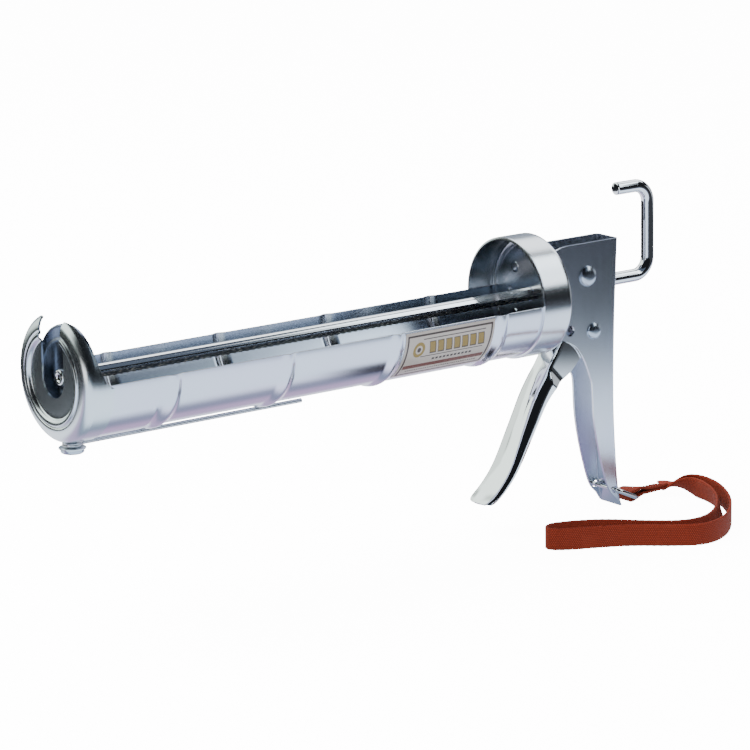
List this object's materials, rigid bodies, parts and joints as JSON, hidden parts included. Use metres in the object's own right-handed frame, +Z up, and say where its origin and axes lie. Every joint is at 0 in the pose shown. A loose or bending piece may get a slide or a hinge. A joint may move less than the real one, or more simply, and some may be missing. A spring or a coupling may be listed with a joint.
{
  "type": "caulking gun",
  "caption": "Half-round sheet-metal caulking gun with a hooked ratchet rod, channel handle, trigger, swing-out seal punch and wrist strap.",
  "frame": {"origin": "on the surface under the handle's tip, midway along the gun's length, on its middle plane", "axes": "+X from the nozzle end to the handle, along the barrel; +Y to the far side; +Z up"},
  "size_m": [0.345, 0.1093, 0.1508],
  "materials": {
    "zinc_plate": "bright zinc plating on sheet steel",
    "chrome_plate": "polished bright plating",
    "rivet_steel": "plated, lightly satin",
    "hard_steel": "dark, oiled",
    "spring_steel": "drawn wire",
    "label_film": "printed film, warm grey",
    "webbing": "woven orange-red webbing"
  },
  "bodies": {
    "gun_body": {"cradle": "zinc_plate", "front_cap": "zinc_plate", "rear_collar": "zinc_plate", "handle_frame": "zinc_plate", "collar_rivets": "rivet_steel", "trigger_pivot_rivet": "rivet_steel", "rod_guide_rivet": "rivet_steel", "seal_punch_rivet": "rivet_steel", "seal_punch_washer": "zinc_plate", "label": "label_film", "trigger_return_spring": "spring_steel", "catch_spring": "spring_steel"},
    "seal_punch": {"seal_punch_wire": "spring_steel"},
    "trigger": {"trigger": "chrome_plate", "drive_pawl_pin": "rivet_steel", "pawl_spring": "spring_steel"},
    "drive_pawl": {"drive_pawl": "hard_steel"},
    "holding_catch": {"holding_catch": "hard_steel"},
    "piston": {"piston_plate": "zinc_plate", "piston_backing_plate": "zinc_plate"},
    "rod": {"push_rod": "chrome_plate", "piston_rivet": "rivet_steel"},
    "lanyard": {"lanyard_ring": "rivet_steel", "strap_sewn_end": "webbing", "lanyard_strap": "webbing"}
  },
  "joints": [
    {"name": "trigger_pull", "type": "hinge", "parent": "gun_body", "child": "trigger", "pos_m": [0.1224, 0, 0.0855], "axis": [0, -1, 0], "range_deg": [0, 30], "stiffness_Nm_per_rad": 0.35, "springref_deg": -20.05, "deforming": ["trigger_return_spring"]},
    {"name": "drive_pawl_swing", "type": "hinge", "parent": "trigger", "child": "drive_pawl", "pos_m": [0.12478, 0, 0.09439], "axis": [0, -1, 0], "range_deg": [-30, 0]},
    {"name": "catch_release", "type": "hinge", "parent": "gun_body", "child": "holding_catch", "pos_m": [0.1224, 0, 0.0855], "axis": [0, -1, 0], "range_deg": [0, 6], "stiffness_Nm_per_rad": 0.02, "springref_deg": -11.46},
    {"name": "piston_slide", "type": "slide", "parent": "gun_body", "child": "piston", "axis": [1, 0, 0], "range_m": [0, 0.24]},
    {"name": "rod_turn", "type": "hinge", "parent": "piston", "child": "rod", "pos_m": [-0.156, 0, 0.106], "axis": [1, 0, 0], "range_deg": [0, 180]},
    {"name": "seal_punch_swing", "type": "hinge", "parent": "gun_body", "child": "seal_punch", "pos_m": [-0.1542, 0, 0.07705], "axis": [0, 0, 1], "range_deg": [0, 180]},
    {"name": "lanyard_ring_swing", "type": "hinge", "parent": "gun_body", "child": "lanyard", "pos_m": [0.1349, 0, 0.0085], "axis": [0, 1, 0], "range_deg": [-30, 60]}
  ],
  "couplings": [
    {"joint": "drive_pawl_swing", "follows": "trigger_pull", "ratio": -1}
  ]
}
